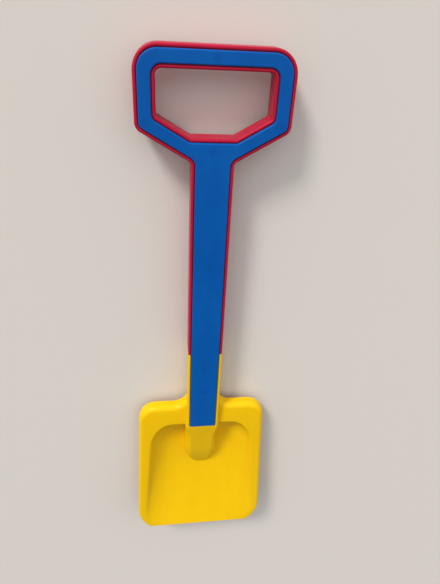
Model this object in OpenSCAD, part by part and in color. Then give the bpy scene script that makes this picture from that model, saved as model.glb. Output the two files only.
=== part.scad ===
// Sand shovel with a D-grip: a red channel handle, a blue front cover, a yellow scoop blade and their screws.
// The shovel lies on its back: X runs across it, Y along the shaft to the grip, and the front faces +Z.
// The modules draw it upright, with the tip at Z = 0 and the front towards -Y, and laid() turns it over.

/* [Handle] */
// Length of the red handle that shows, from the top of the grip down
handle_length = 257; // [230:1:290]
// Width of the shaft
shaft_w = 32; // [29:0.5:36]
// Depth of the handle from its front rim to its back
handle_depth = 18; // [16.5:0.5:22]
// Thickness of the rim that shows around the cover
rim_w = 2.4; // [2:0.1:3]
// Thickness of the handle's back wall
back_wall = 2.4; // [1.8:0.1:3]
// Width of the ledge inside the rim that carries the cover
ledge_w = 1; // [0.6:0.1:1.4]
// Radius of the handle's back edges
back_edge_r = 2; // [1:0.1:2.2]

/* [Grip] */
// Width of the grip
grip_w = 112; // [104:1:124]
// Width of the bar that runs round the grip
grip_bar = 15; // [14:0.5:18]
// Height from the top of the grip to its lower outer corners
grip_side_h = 54; // [50:1:60]
// Slope of the two struts that lead to the shaft, in degrees
grip_slope = 30; // [25:1:36]
// Height of the hand opening
hand_h = 44.5; // [40:0.5:48]
// Radius of the grip's upper outer corners
grip_top_r = 17; // [16:0.5:20]
// Radius of the grip's lower outer corners
grip_low_r = 7; // [4:0.5:9]
// Radius of the hand opening's upper corners
hand_top_r = 4.5; // [2:0.5:8]
// Radius of the hand opening's lower corners
hand_low_r = 2; // [1:0.5:6]
// Radius between each strut and the shaft
neck_r = 4; // [2:0.5:8]

/* [Cover] */
// Thickness of the cover
cover_t = 2.6; // [2.2:0.1:3.4]
// Height of the cover's face above the rim
cover_proud = 1; // [0.5:0.1:1.4]
// Radius of the cover's front edge
cover_edge_r = 0.9; // [0.4:0.1:1.2]
// Gap between the cover and the rim
cover_gap = 0.3; // [0.1:0.05:0.5]
// Length of the cover below the blade's top edge
cover_lap = 22; // [18:1:28]

/* [Blade] */
// Height of the blade from its tip to its top edge
blade_h = 189; // [183:1:195]
// Width of the blade at its top edge
blade_top_w = 130; // [122:1:138]
// Width to which the blade's sides open at the tip
blade_tip_w = 146.5; // [138:0.5:154]
// Radius of the blade's top corners
blade_top_r = 18; // [14:1:22]
// Width of the rounding at each corner of the tip
tip_corner_w = 12; // [8:1:18]
// Height of the rounding at each corner of the tip
tip_corner_h = 28; // [22:1:36]
// Wall thickness of the blade
blade_wall = 2.6; // [2:0.1:3]
// Wall thickness at the tip
tip_wall = 1.6; // [1.2:0.1:1.7]
// Distance of the top of the rim behind the front of the handle
rim_back = 6; // [4:0.5:8]
// Distance of the tip in front of the front of the handle
tip_forward = 3; // [1:0.5:5]
// Radius of the rim's rolled outer edge
roll_r = 5; // [4:0.25:6]
// Radius of the rolled edge at the tip
tip_roll_r = 2; // [1.8:0.1:2.4]
// Depth of the skirt behind the rim at the top
skirt_d = 11; // [8:0.5:13]
// Depth of the skirt at the tip
tip_skirt_d = 4; // [3.6:0.1:5]
// Radius of the web between the blade's top edge and the socket
web_r = 15; // [12:0.5:17]

/* [Scoop] */
// Depth of the scoop below the rim at its deep end
scoop_depth = 17.5; // [14:0.5:20]
// Width of the rim above the scoop
rim_top_w = 22; // [19:1:28]
// Width of the scoop's walls between the rim and the floor
scoop_wall_run = 22; // [18:1:25]
// Width of the rounding at the floor's upper corners, inside the walls
floor_corner_w = 4; // [2:0.5:8]
// Height of the rounding at the floor's upper corners, inside the walls
floor_corner_h = 15; // [8:1:22]
// Width of the flat rim beside the scoop's upper corners
flange_w = 11; // [9:0.5:14]
// Width of the flat rim above the tip's corners
flange_low_w = 7; // [6:0.5:9]
// Width of the rim at the tip
flange_tip_w = 4; // [3.5:0.5:5]

/* [Socket] */
// Length of the socket that shows above the blade's top edge
socket_l = 74; // [66:1:84]
// Distance of the end of the red tongue above the blade's top edge
tongue_end = 12; // [8:1:18]
// Wall thickness of the tongue
tongue_wall = 2.2; // [1.8:0.1:2.6]
// Thickness of the shoulder at the top of the tongue
shoulder_t = 3; // [2:0.5:5]
// Thickness of the socket's back wall
socket_back = 4.2; // [3.6:0.1:5]
// Gap between the tongue and the socket
socket_gap = 0.25; // [0.1:0.05:0.4]
// Length of the nose that runs on below the cover
nose_l = 74; // [68:1:80]
// Width of the nose at its foot
nose_foot_w = 36; // [34:0.5:38]
// Width of the flat face of the nose
nose_face_w = 21; // [18:0.5:24]
// Length over which the end of the nose is rounded
nose_round_l = 33; // [28:1:38]
// Depth by which the nose slopes back over its length
nose_drop = 10; // [7:0.5:11]
// Length below the scoop's top edge over which the nose widens to the socket
nose_flare_l = 22; // [18:1:26]
// Height by which the nose's walls stand out behind the back of the scoop's floor
nose_pad = 1.2; // [0.8:0.1:2]

/* [Screws] */
// Diameter of the screws' thread
screw_d = 2.9; // [2.5:0.1:3.2]
// Diameter of the screws' heads
screw_head_d = 5.6; // [5:0.1:6]
// Height of the screws' heads
screw_head_h = 1.7; // [1.4:0.1:1.8]
// Length of the screws in the handle, below the head
handle_screw_l = 10; // [9:0.5:12]
// Length of the screws in the socket, below the head
socket_screw_l = 12; // [11:0.5:13]
// Depth of the recesses for the screws' heads
recess_depth = 2; // [1.8:0.1:2.1]
// Gap around the screws' heads in their recesses
recess_gap = 0.4; // [0.2:0.1:0.6]
// Gap around the screws in the walls that they pass through
screw_gap = 0.25; // [0.15:0.05:0.4]
// Gap between the screws and the bores of their bosses
thread_gap = 0.05; // [0.02:0.01:0.1]
// Diameter of the cover's screw bosses
boss_d = 6; // [5.5:0.1:6.4]
// Width of the pads around the screws inside the handle's back wall
pad_margin = 2; // [1.5:0.1:2.5]

/* [Hidden] */
$fn = 48;

// Steps in which curves are drawn: rounded corners, parts of the blade's edge, the scoop's wall and floor
arc_steps = 6;
corner_steps = 6;
side_steps = 6;
web_steps = 4;
nose_steps = 5;
wall_steps = 8;
floor_steps = 3;

// Length by which every cut runs past the face that it opens
past = 1;

// Space between the end of the tongue and the foot of the socket
gap_below_tongue = 3;

// Height above the tip over which the blade's wall thickens
taper_h = 60;

// Angle at which the rounding of the tip's corners leaves the tip's edge
tip_corner_from = 35;

// Depth by which the webs run into the socket, and angle of their arcs
web_sink = 1;
web_turn = 75;

// Share of the way from the scoop's edge to the middle of its floor that its walls take,
// and share over which its edge is rounded
wall_share = 0.39;
edge_share = 0.1;

// Depth by which the nose's foot runs into the scoop's floor
nose_sink = 1.2;

// Share of the floor's half width that the lines from the scoop's wall cover,
// and share of their starting height to which they sink there, in the middle and at the sides
floor_reach = 0.85;
spine_high = 0.85;
spine_low = 0.7;

// Heights along the shovel
split_z = blade_h + socket_l;
overall_length = split_z + handle_length;
scoop_h = blade_h - rim_top_w;
cover_end_z = blade_h - cover_lap;
tongue_end_z = blade_h + tongue_end;
tongue_l = split_z - tongue_end_z;
grip_corner_z = overall_length - grip_side_h;
neck_z = grip_corner_z - tan(grip_slope) * (grip_w - shaft_w) / 2;
hand_base_z = overall_length - grip_bar - hand_h;
nose_end_z = cover_end_z - nose_l;
socket_z = (scoop_h + blade_h) / 2;

// Depths behind the handle's front rim, and the shift that puts the back-most point at Y = 0
seat_d = cover_t - cover_proud;
socket_floor_d = handle_depth - socket_back;
tongue_back_d = socket_floor_d - socket_gap;
tongue_floor_d = tongue_back_d - tongue_wall;
recess_floor_d = handle_depth - recess_depth;
pad_front_d = recess_floor_d - back_wall;
flare_z = scoop_h - nose_flare_l;
nose_back = blade_wall + nose_pad;
blade_back_d = rim_d(flare_z) + floor_d(flare_z) + nose_back;
rim_y = -max(handle_depth, blade_back_d);

// Rounding at the scoop's upper corners, which runs round the floor's corners at the width of the walls
scoop_corner_w = scoop_wall_run + floor_corner_w;
scoop_corner_h = scoop_wall_run + floor_corner_h;

// Half widths across the shaft
socket_x = shaft_w / 2 - rim_w;
tongue_x = socket_x - socket_gap;

// Screw places, as [x, z]
bar_middle = grip_bar / 2;
strut_bend_z = grip_corner_z + bar_middle * tan(45 - grip_slope / 2);
neck_screw_z = (hand_base_z + neck_z) / 2;
handle_screw_places = [
    [0, overall_length - bar_middle],
    [grip_w / 2 - bar_middle, strut_bend_z],
    [bar_middle - grip_w / 2, strut_bend_z],
    [0, neck_screw_z],
    [0, (neck_screw_z + split_z) / 2]
];
socket_screw_places = [
    [0, split_z - tongue_l * 0.3],
    [0, split_z - tongue_l * 0.75]
];

// General helpers

function lerp(a, b, t) = a + (b - a) * t;
function unit(v) = v / norm(v);
function smooth(t) = t * t * (3 - 2 * t);
function mirrored(corners) =
    [for (i = [len(corners) - 1 : -1 : 0]) [-corners[i].x, corners[i].y, corners[i][2]]];

// Points of an arc of radius r in the corner b between the points a and c
function corner_arc(a, b, c, r) =
    let (
        u = unit(a - b),
        v = unit(c - b),
        half = acos(u * v) / 2,
        mid = b + unit(u + v) * r / sin(half),
        from = b + u * r / tan(half) - mid,
        to = b + v * r / tan(half) - mid,
        start = atan2(from.y, from.x),
        turn = (atan2(to.y, to.x) - start + 540) % 360 - 180
    )
    [
        for (k = [0 : arc_steps])
            let (angle = start + turn * k / arc_steps)
            mid + r * [cos(angle), sin(angle)]
    ];

// Closed outline from corners given as [x, z, radius]
function rounded(corners) =
    let (n = len(corners), flat = [for (c = corners) [c.x, c.y]])
    [for (i = [0 : n - 1]) each corner_arc(flat[(i + n - 1) % n], flat[i], flat[(i + 1) % n], corners[i][2])];

// Solid from a flat shape in X and Z, between two depths behind the handle's front rim
module between(front_d, back_d) {
    translate([0, rim_y + back_d, 0])
        rotate([90, 0, 0])
            linear_extrude(back_d - front_d)
                children();
}

// Cylinder along Y at a place [x, z], between two depths behind the handle's front rim
module post(place, front_d, back_d, d) {
    translate([place.x, rim_y + back_d, place.y])
        rotate([90, 0, 0])
            cylinder(d = d, h = back_d - front_d);
}

// Solid through mirrored outlines of equal length, each given as [depth, points], from front to back
module stack(outlines) {
    n = len(outlines[0][1]);
    last = (len(outlines) - 1) * n;
    points = [for (o = outlines) each [for (p = o[1]) [p.x, rim_y + o[0], p.y]]];
    sides = [
        for (k = [0 : len(outlines) - 2], j = [0 : n - 1])
            let (a = k * n + j, b = k * n + (j + 1) % n)
            each [[a, a + n, b], [b, a + n, b + n]]
    ];
    front = [for (i = [0 : n / 2 - 2]) each [[i, i + 1, n - 2 - i], [i, n - 2 - i, n - 1 - i]]];
    back = [for (f = front) [last + f[2], last + f[1], last + f[0]]];
    polyhedron(points, concat(front, back, sides));
}

// Outlines of the handle and of the hand opening

// Outline of the grip and the shaft, moved inwards by inset, with the shaft ending at end_z
function handle_outline(inset, end_z, end_r = 0.5) =
    let (
        grip_x = grip_w / 2 - inset,
        shaft_x = shaft_w / 2 - inset,
        lift = inset * tan(45 - grip_slope / 2),
        right = [
            [grip_x, overall_length - inset, grip_top_r - inset],
            [grip_x, grip_corner_z + lift, max(grip_low_r - inset, 1)],
            [shaft_x, neck_z + lift, neck_r + inset],
            [shaft_x, end_z, end_r]
        ]
    )
    rounded(concat(right, mirrored(right)));

// Outline of the hand opening, moved outwards into the bar by outset
function hand_outline(outset) =
    let (
        inset = grip_bar - outset,
        side_x = grip_w / 2 - inset,
        lift = inset * tan(45 - grip_slope / 2),
        base_z = hand_base_z - outset,
        base_x = grip_w / 2 - (grip_corner_z + inset / cos(grip_slope) - base_z) / tan(grip_slope),
        right = [
            [side_x, overall_length - inset, hand_top_r + outset],
            [side_x, grip_corner_z + lift, hand_low_r + outset],
            [base_x, base_z, hand_low_r + outset]
        ]
    )
    rounded(concat(right, mirrored(right)));

// Space between the walls of the handle, both moved inwards by inset
module channel_shape(inset, end_z) {
    difference() {
        polygon(handle_outline(inset, end_z));
        polygon(hand_outline(inset));
    }
}

// Straight stretch of the shaft, centred across, between two heights
module shaft_strip(half_w, low_z, high_z) {
    translate([-half_w, low_z])
        square([2 * half_w, high_z - low_z]);
}

// Stations of a rounded edge, as [inset, step back from the face]
function edge_round(r) = [for (k = [0 : 3]) [r * (1 - sin(k * 30)), r * (1 - cos(k * 30))]];

// Handle

module handle_shell() {
    edge = edge_round(back_edge_r);
    outer = [for (e = edge) [handle_depth - e[1], handle_outline(e[0], split_z)]];
    opening = [for (e = edge) [handle_depth - e[1], hand_outline(e[0])]];
    difference() {
        stack(concat([[0, handle_outline(0, split_z)]], [for (k = [3 : -1 : 0]) outer[k]]));
        stack(concat(
            [[-past, hand_outline(0)]],
            [for (k = [3 : -1 : 0]) opening[k]],
            [[handle_depth + past, hand_outline(back_edge_r)]]
        ));
        between(-past, seat_d)
            channel_shape(rim_w, split_z - past);
        between(seat_d - past, handle_depth - back_wall)
            channel_shape(rim_w + ledge_w, split_z + shoulder_t);
    }
}

module tongue() {
    between(seat_d, tongue_back_d)
        shaft_strip(tongue_x, tongue_end_z, split_z + shoulder_t / 2);
}

module handle_body() {
    color("crimson")
        difference() {
            union() {
                handle_shell();
                tongue();
                for (p = handle_screw_places)
                    post(p, pad_front_d, recess_floor_d, boss_d + 2 * pad_margin);
            }
            between(-past, tongue_floor_d)
                shaft_strip(tongue_x - tongue_wall, tongue_end_z + tongue_wall, split_z + shoulder_t + past);
            for (p = handle_screw_places)
                screw_way(p, 0);
            for (p = socket_screw_places)
                screw_way(p, 0);
        }
}

// Cover

module front_cover() {
    inset = rim_w + cover_gap;
    end_z = cover_end_z + cover_gap;
    edge = edge_round(cover_edge_r);
    outer = [for (e = edge) [e[1] - cover_proud, handle_outline(inset + e[0], end_z + e[0])]];
    opening = [for (e = edge) [e[1] - cover_proud, hand_outline(inset + e[0])]];
    color("royalblue")
        difference() {
            union() {
                difference() {
                    stack(concat(outer, [[seat_d, handle_outline(inset, end_z)]]));
                    stack(concat(
                        [[-cover_proud - past, hand_outline(inset + cover_edge_r)]],
                        opening,
                        [[seat_d + past, hand_outline(inset)]]
                    ));
                }
                for (p = handle_screw_places)
                    post(p, seat_d - past, pad_front_d, boss_d);
                for (p = socket_screw_places)
                    post(p, seat_d - past, tongue_floor_d, boss_d);
            }
            for (p = handle_screw_places)
                post(p, recess_floor_d - handle_screw_l - past, handle_depth, screw_d + 2 * thread_gap);
            for (p = socket_screw_places)
                post(p, recess_floor_d - socket_screw_l - past, handle_depth, screw_d + 2 * thread_gap);
        }
}

// Blade: a shell of even wall that follows rings of points from the skirt, over the rim, into the scoop

// Depth of the rim behind the handle's front rim and depth of the floor below it, at the height z.
// The share of that depth which the hollow has at a share of the way from its edge to its middle.
// Thickness of the wall, radius of the rolled edge and depth of the skirt, at the height z.
function rim_d(z) = lerp(-tip_forward, rim_back, z / blade_h);
function floor_d(z) = scoop_depth * sin(90 * min(1, z / scoop_h));
function hollow(share) = (1 - (1 - share) ^ 4) * smooth(min(1, share / edge_share));
function wall_at(z) = lerp(tip_wall, blade_wall, smooth(min(1, z / taper_h)));
function roll_at(z) = lerp(tip_roll_r, roll_r, min(1, z / blade_h));
function skirt_at(z) = lerp(tip_skirt_d, skirt_d, min(1, z / blade_h));

// Half width of the blade and width of its rim at the height z
function side_x(z) = lerp(blade_tip_w, blade_top_w, z / blade_h) / 2;
function side_flange(z) =
    lerp(flange_low_w, flange_w, (z - tip_corner_h) / (scoop_h - scoop_corner_h - tip_corner_h));

// Right half of the blade's edge, from the tip to the middle of the top. Each station is
// [outer edge, direction inwards there, edge of the scoop, direction inwards there], all as [x, z].
tip_stations = [
    for (k = [0 : corner_steps])
        let (
            t = lerp(tip_corner_from, 90, k / corner_steps),
            x = side_x(tip_corner_h) - tip_corner_w * (1 - sin(t)) / (1 - sin(tip_corner_from)),
            z = tip_corner_h * (1 - cos(t) / cos(tip_corner_from)),
            rise = atan2(
                tip_corner_h * sin(t) / cos(tip_corner_from),
                tip_corner_w * cos(t) / (1 - sin(tip_corner_from))
            ),
            flange = lerp(flange_tip_w, flange_low_w, k / corner_steps)
        )
        [[x, z], [-1 / sin(rise), 0], [x - flange, z], [-1, 0]]
];
side_stations = [
    for (k = [1 : side_steps])
        let (
            outer_z = lerp(tip_corner_h, blade_h - blade_top_r, k / side_steps),
            inner_z = lerp(tip_corner_h, scoop_h - scoop_corner_h, k / side_steps)
        )
        [[side_x(outer_z), outer_z], [-1, 0], [side_x(inner_z) - side_flange(inner_z), inner_z], [-1, 0]]
];
corner_stations = [
    for (k = [1 : corner_steps])
        let (
            t = 90 * k / corner_steps,
            outer = side_stations[side_steps - 1][0],
            inner = side_stations[side_steps - 1][2]
        )
        [
            outer + blade_top_r * [cos(t) - 1, sin(t)],
            [-cos(t), -sin(t)],
            inner + [scoop_corner_w * (cos(t) - 1), scoop_corner_h * sin(t)],
            [-cos(t), -sin(t)]
        ]
];
web_stations = [
    for (k = [0 : web_steps])
        let (
            t = web_turn * k / web_steps,
            x = shaft_w / 2 - web_sink + web_r * (1 - sin(t)),
            lean = min(t, 45),
            inner_x = corner_stations[corner_steps - 1][2].x * (1 - (k + 1) / (web_steps + 2))
        )
        [[x, blade_h + web_r * (1 - cos(t))], [-sin(lean), -cos(lean)], [inner_x, scoop_h], [0, -1]]
];
top_station = [[0, blade_h + web_r * (1 - cos(web_turn))], [0, -1], [0, scoop_h], [0, -1]];
right_stations = concat(tip_stations, side_stations, corner_stations, web_stations);
left_stations = [
    for (i = [len(right_stations) - 1 : -1 : 0])
        [for (p = right_stations[i]) [-p.x, p.y]]
];
stations = concat(right_stations, [top_station], left_stations);

// Front surface at one station, from the skirt's back edge to near the middle of the floor
function at_depth(p, d) = [p.x, rim_y + d, p.y];
function front_line(s) =
    let (
        roll = roll_at(s[0].y),
        shoulder = roll * (1 - cos(45)),
        rim = [
            for (e = [[0, skirt_at(s[0].y)], [0, roll], [shoulder, shoulder], [roll, 0]])
                let (p = s[0] + s[1] * e[0])
                at_depth(p, rim_d(s[0].y) + e[1])
        ],
        wall = [
            for (k = [0 : wall_steps])
                let (t = k / wall_steps, p = s[2] + s[3] * scoop_wall_run * t)
                at_depth(p, rim_d(p.y) + floor_d(p.y) * hollow(wall_share * t))
        ],
        foot = s[2] + s[3] * scoop_wall_run,
        floor = [
            for (k = [1 : floor_steps])
                let (
                    t = floor_reach * k / floor_steps,
                    spine_z = foot.y * lerp(spine_high, spine_low, 2 * abs(foot.x) / blade_top_w),
                    p = lerp(foot, [0, spine_z], t)
                )
                at_depth(p, rim_d(p.y) + floor_d(p.y) * hollow(lerp(wall_share, 1, t)))
        ]
    )
    concat(rim, wall, floor);

module blade_shell() {
    front = [for (s = stations) front_line(s)];
    n = len(stations);
    m = len(front[0]);
    back = [
        for (j = [0 : n - 1])
            [
                for (r = [0 : m - 1])
                    let (
                        along = front[min(j + 1, n - 1)][r] - front[max(j - 1, 0)][r],
                        inwards = front[j][min(r + 1, m - 1)] - front[j][max(r - 1, 0)],
                        out = unit(cross(inwards, along)),
                        wall = wall_at(front[j][r].z)
                    )
                    front[j][r] + wall * (j == 0 || j == n - 1 ? [out.x, out.y, 0] / (1 - out.z ^ 2) : out)
            ]
    ];
    points = [for (side = [front, back], line = side) each line];
    f = function (j, r) j * m + r;
    b = function (j, r) (n + j) * m + r;
    quad = function (p, q, s, t) [[p, q, s], [p, s, t]];
    middle = (n - 1) / 2;
    faces = [
        for (j = [0 : n - 2])
            each concat(
                [for (r = [0 : m - 2]) each quad(f(j, r), f(j, r + 1), f(j + 1, r + 1), f(j + 1, r))],
                [for (r = [0 : m - 2]) each quad(b(j, r), b(j + 1, r), b(j + 1, r + 1), b(j, r + 1))],
                quad(f(j, 0), f(j + 1, 0), b(j + 1, 0), b(j, 0))
            ),
        for (r = [0 : m - 2])
            each concat(
                quad(f(0, r + 1), f(0, r), b(0, r), b(0, r + 1)),
                quad(f(n - 1, r), f(n - 1, r + 1), b(n - 1, r + 1), b(n - 1, r))
            ),
        for (j = [0 : middle - 2])
            each concat(
                quad(f(j + 1, m - 1), f(j, m - 1), f(n - 1 - j, m - 1), f(n - 2 - j, m - 1)),
                quad(b(j, m - 1), b(j + 1, m - 1), b(n - 2 - j, m - 1), b(n - 1 - j, m - 1))
            ),
        [f(middle, m - 1), f(middle - 1, m - 1), f(middle + 1, m - 1)],
        [b(middle - 1, m - 1), b(middle, m - 1), b(middle + 1, m - 1)],
        each quad(f(n - 1, m - 1), f(0, m - 1), b(0, m - 1), b(n - 1, m - 1))
    ];
    polyhedron(points, faces);
}

// Nose: a ridge that carries on the front of the socket and sinks into the scoop's floor

// Depth of the scoop's surface beside the nose at the height z
function scoop_d(z) =
    rim_d(z) + floor_d(z) * hollow(min(1, wall_share * max(0, scoop_h - z) / scoop_wall_run));

// Depth of the nose's back: it follows the scoop's floor, moved back by floor_inset,
// up to the socket's back at high_d
function nose_back_d(z, floor_inset, high_d) =
    let (
        low_z = min(z, flare_z),
        rise = max(0, z - flare_z) / (socket_z - flare_z)
    )
    lerp(rim_d(low_z) + floor_d(low_z) + floor_inset, high_d, min(1, rise));

// Heights at which the nose is cut across, each with the share of its full size that it has there
function nose_cuts(inset, high_z) =
    let (
        end_z = nose_end_z + inset,
        full_z = end_z + nose_round_l,
        first = inset > 0 ? 20 : 6
    )
    concat(
        [for (k = [0 : nose_steps])
            let (turn = lerp(first, 90, k / nose_steps))
            [end_z + nose_round_l * (1 - cos(turn)), sin(turn)]],
        [for (k = [1 : nose_steps]) [lerp(full_z, flare_z, k / nose_steps), 1]],
        [for (k = [1 : nose_steps]) [lerp(flare_z, scoop_h, k / nose_steps), 1]],
        [[socket_z, 1], [high_z, 1]]
    );

// Section across the nose, moved inwards by inset, as [x, depth]:
// its back, its walls, its rounded shoulders and its flat face
function nose_section(z, size, inset, back_d) =
    let (
        fade = smooth(min(1, max(0, z - scoop_h) / rim_top_w)),
        grow = smooth(min(1, max(0, z - flare_z) / nose_flare_l)),
        foot_x = size * lerp(nose_foot_w, shaft_w, fade) / 2 - inset,
        face_x = size * lerp(nose_face_w, shaft_w - 2 * cover_edge_r, grow) / 2 - inset,
        slope_d = nose_drop / nose_l * max(0, cover_end_z - rim_w - z),
        foot_d = scoop_d(z) + nose_sink,
        face_d = lerp(foot_d, slope_d, size) + inset,
        right = [
            [foot_x, back_d],
            for (k = [nose_steps : -1 : 0])
                let (turn = 90 * k / nose_steps)
                [lerp(face_x, foot_x, sin(turn)), lerp(foot_d, face_d, cos(turn))]
        ]
    )
    concat(right, mirrored(right));

module nose_solid(inset, floor_inset, high_z, high_d) {
    sections = [
        for (cut = nose_cuts(inset, high_z))
            [cut[0], nose_section(cut[0], cut[1], inset, nose_back_d(cut[0], floor_inset, high_d))]
    ];
    multmatrix([[-1, 0, 0, 0], [0, 0, 1, rim_y], [0, 1, 0, -rim_y]])
        stack(sections);
}

module socket_block(low_z) {
    half = shaft_w / 2;
    section = rounded([
        [-half, 0, 0.4],
        [-half, handle_depth, back_edge_r],
        [half, handle_depth, back_edge_r],
        [half, 0, 0.4]
    ]);
    translate([0, rim_y, low_z])
        linear_extrude(split_z - low_z)
            polygon(section);
}

module blade() {
    nose_top_z = tongue_end_z - gap_below_tongue;
    color("gold")
        difference() {
            union() {
                blade_shell();
                socket_block(socket_z);
                nose_solid(0, nose_back, blade_h, handle_depth - 0.1);
            }
            nose_solid(blade_wall, scoop_depth, nose_top_z - blade_wall, handle_depth + past);
            between(-past - tip_forward, seat_d)
                shaft_strip(socket_x, cover_end_z, split_z + past);
            between(-past - tip_forward, socket_floor_d)
                shaft_strip(socket_x, nose_top_z, split_z + past);
            for (p = socket_screw_places)
                screw_way(p, socket_floor_d);
        }
}

// Screws

// Clear hole for a screw from the depth front_d, with the recess for its head
module screw_way(place, front_d) {
    post(place, front_d - past, handle_depth + past, screw_d + 2 * screw_gap);
    post(place, recess_floor_d, handle_depth + past, screw_head_d + 2 * recess_gap);
}

// Pan head screw with a cross recess, driven from the back
module screw(place, length) {
    recess_w = screw_d / 4;
    recess_l = screw_head_d * 0.55;
    difference() {
        union() {
            post(place, recess_floor_d - length, recess_floor_d, screw_d);
            post(place, recess_floor_d, recess_floor_d + screw_head_h, screw_head_d);
        }
        for (turn = [0, 90])
            translate([place.x, rim_y + recess_floor_d + screw_head_h, place.y])
                rotate([0, turn, 0])
                    cube([recess_l, screw_head_h, recess_w], center = true);
    }
}

module handle_screws() {
    color("silver")
        for (p = handle_screw_places)
            screw(p, handle_screw_l);
}

module socket_screws() {
    color("silver")
        for (p = socket_screw_places)
            screw(p, socket_screw_l);
}

// Lays an upright piece on its back, with the middle of the shovel's length at the origin
module laid() {
    translate([0, -overall_length / 2, 0])
        rotate([-90, 0, 0])
            children();
}

laid() handle_body();
laid() front_cover();
laid() blade();
laid() handle_screws();
laid() socket_screws();
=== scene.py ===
# %% [markdown]
# # A sand shovel around its CAD frame
#
# The CAD model has the exact sizes of a child's sand shovel: a red channel handle, a blue cover inlaid in
# its front, a yellow scoop blade, and the screws that hold them together. Here each moulding is modelled
# again with the soft edges that real plastic has. The shovel lies on its back: X runs across it, Y along
# the shaft to the grip, and the front looks up along Z. All lengths are in metres.

# %% Load the frame
import math

import bmesh
import bpy
from mathutils import Matrix, Vector


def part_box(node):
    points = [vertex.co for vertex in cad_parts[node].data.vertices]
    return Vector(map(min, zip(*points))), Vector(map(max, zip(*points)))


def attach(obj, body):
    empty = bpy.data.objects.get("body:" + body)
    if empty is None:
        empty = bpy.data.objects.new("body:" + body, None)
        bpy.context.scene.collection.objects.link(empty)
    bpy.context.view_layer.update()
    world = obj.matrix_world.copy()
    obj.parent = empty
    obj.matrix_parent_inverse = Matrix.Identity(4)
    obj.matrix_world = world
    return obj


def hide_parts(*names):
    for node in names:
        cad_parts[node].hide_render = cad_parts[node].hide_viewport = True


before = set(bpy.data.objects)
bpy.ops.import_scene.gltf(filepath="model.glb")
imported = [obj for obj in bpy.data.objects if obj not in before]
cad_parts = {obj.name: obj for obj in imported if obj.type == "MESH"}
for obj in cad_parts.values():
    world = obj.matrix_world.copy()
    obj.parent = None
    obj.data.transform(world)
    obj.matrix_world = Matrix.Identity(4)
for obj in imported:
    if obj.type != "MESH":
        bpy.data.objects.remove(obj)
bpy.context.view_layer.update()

MM = 0.001
print("CAD nodes:", sorted(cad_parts))

# %% [markdown]
# ## Heights and lengths
#
# The mouldings share a few levels. Depths are measured behind the front rim of the handle, so the rim's
# height above the ground is the base from which everything else follows. Lengths along the shaft start at
# the tip of the blade.

# %% Shared levels and lengths
LENGTH = 520 * MM
TIP_Y = -LENGTH / 2
TOP_Y = LENGTH / 2
BLADE_LENGTH = 189 * MM
SOCKET_LENGTH = 74 * MM
SPLIT_Y = TIP_Y + BLADE_LENGTH + SOCKET_LENGTH
COVER_LAP = 22 * MM
COVER_END_Y = TIP_Y + BLADE_LENGTH - COVER_LAP
SHAFT_WIDTH = 32 * MM
HANDLE_DEPTH = 18 * MM
COVER_PROUD = 1 * MM
COVER_THICK = 2.6 * MM
COVER_FACE_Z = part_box("front_cover")[1].z
RIM_Z = COVER_FACE_Z - COVER_PROUD
BACK_Z = RIM_Z - HANDLE_DEPTH
SEAT_Z = COVER_FACE_Z - COVER_THICK
print(f"front rim {RIM_Z / MM:.1f} mm above the ground, handle's back {BACK_Z / MM:.1f} mm")

# %% [markdown]
# ## Helpers for bmesh pieces
#
# Every piece starts as a bmesh, is shaped with operators, and ends as an object at the origin. Smooth
# shading with sharp edges above an angle, and normals weighted by face area, keep the flats flat and let
# the rounded edges shine. What is awkward to extrude, such as a hole across a finished shell, is fused or
# cut with plain blocks and posts by booleans. A cutter reaches a little past the face that it cuts, so
# that no thin skin is left there.

# %% Piece helpers
SHARP_ANGLE = math.radians(38)


def as_object(bm, name):
    mesh = bpy.data.meshes.new(name)
    bm.to_mesh(mesh)
    bm.free()
    piece = bpy.data.objects.new(name, mesh)
    bpy.context.scene.collection.objects.link(piece)
    return piece


def shade(piece):
    piece.data.shade_smooth()
    piece.data.set_sharp_from_angle(angle=SHARP_ANGLE)
    weighted = piece.modifiers.new("even_flats", "WEIGHTED_NORMAL")
    weighted.keep_sharp = True


def take_place(piece, node):
    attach(piece, "root")
    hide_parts(node)
    print(f"{piece.name}: {len(piece.data.polygons)} faces, stands for {node}")


print("edges are sharp above", round(math.degrees(SHARP_ANGLE)), "degrees")

# %% Fuse and cut
SLIVER = 0.001 * MM
CUT_PAST = 1 * MM
POST_SEGMENTS = 40


def drop_slivers(mesh):
    """Takes away the faces without area that booleans can leave."""
    bm = bmesh.new()
    bm.from_mesh(mesh)
    bmesh.ops.dissolve_degenerate(bm, dist=SLIVER, edges=bm.edges)
    bm.to_mesh(mesh)
    bm.free()


def combine(base, tools):
    """Fuses or cuts the tool objects into the base, one after another, and removes them."""
    for operation, tool in tools:
        step = base.modifiers.new(operation, "BOOLEAN")
        step.operation = operation
        step.solver = "MANIFOLD"
        step.object = tool
    bpy.context.view_layer.update()
    depsgraph = bpy.context.evaluated_depsgraph_get()
    result = bpy.data.meshes.new_from_object(base.evaluated_get(depsgraph))
    base.modifiers.clear()
    base.data = result
    for operation, tool in tools:
        bpy.data.objects.remove(tool)
    drop_slivers(base.data)


def new_block(width, low_y, high_y, low_z, high_z):
    """Bmesh of a plain block across the middle line."""
    middle = Matrix.Translation((0, (low_y + high_y) / 2, (low_z + high_z) / 2))
    size = Matrix.Diagonal((width, high_y - low_y, high_z - low_z, 1))
    bm = bmesh.new()
    bmesh.ops.create_cube(bm, size=1, matrix=middle @ size)
    return bm


def block(name, *sizes):
    """A plain block across the middle line, to fuse or cut with."""
    return as_object(new_block(*sizes), name)


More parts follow.
